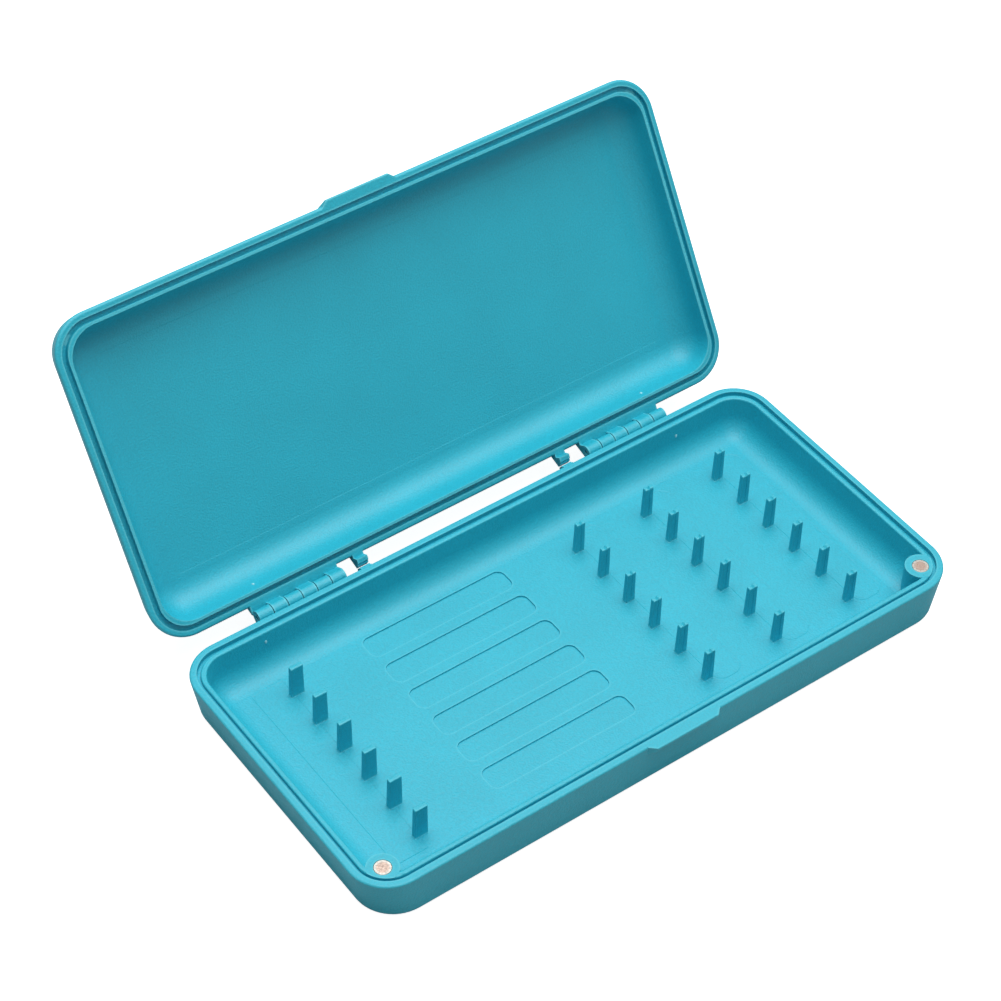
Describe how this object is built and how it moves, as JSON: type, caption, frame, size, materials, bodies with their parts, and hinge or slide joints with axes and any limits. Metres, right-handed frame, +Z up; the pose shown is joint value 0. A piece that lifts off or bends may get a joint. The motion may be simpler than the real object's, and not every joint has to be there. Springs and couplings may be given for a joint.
{
  "type": "tackle box",
  "caption": "Slim tackle box for fishing rigs: tray with moulded pegs, corner magnets, and a coved lid on a pinned hinge, standing open on its stops.",
  "frame": {"origin": "centre of the tray's flat underside", "axes": "+X along the hinge, +Y towards the hinge, +Z up, with the lid at rest open on its stops"},
  "size_m": [0.2008, 0.1625, 0.0962],
  "materials": {
    "tray_plastic": "fine matt moulded turquoise plastic",
    "lid_plastic": "fine matt moulded turquoise plastic",
    "pin_steel": "drawn steel wire",
    "magnet_nickel": "worn nickel plating"
  },
  "bodies": {
    "tray": {"base_tray": "tray_plastic", "line_pegs_left": "tray_plastic", "hook_pegs_1": "tray_plastic", "hook_pegs_2": "tray_plastic", "hook_pegs_3": "tray_plastic", "hinge_pin_left": "pin_steel", "hinge_pin_right": "pin_steel", "tray_magnet_left": "magnet_nickel", "tray_magnet_right": "magnet_nickel"},
    "lid": {"lid": "lid_plastic", "lid_magnet_left": "magnet_nickel", "lid_magnet_right": "magnet_nickel"}
  },
  "joints": [
    {"name": "lid_hinge", "type": "hinge", "parent": "tray", "child": "lid", "pos_m": [0, 0.05115, 0.01285], "axis": [1, 0, 0], "range_deg": [0, 122]}
  ]
}
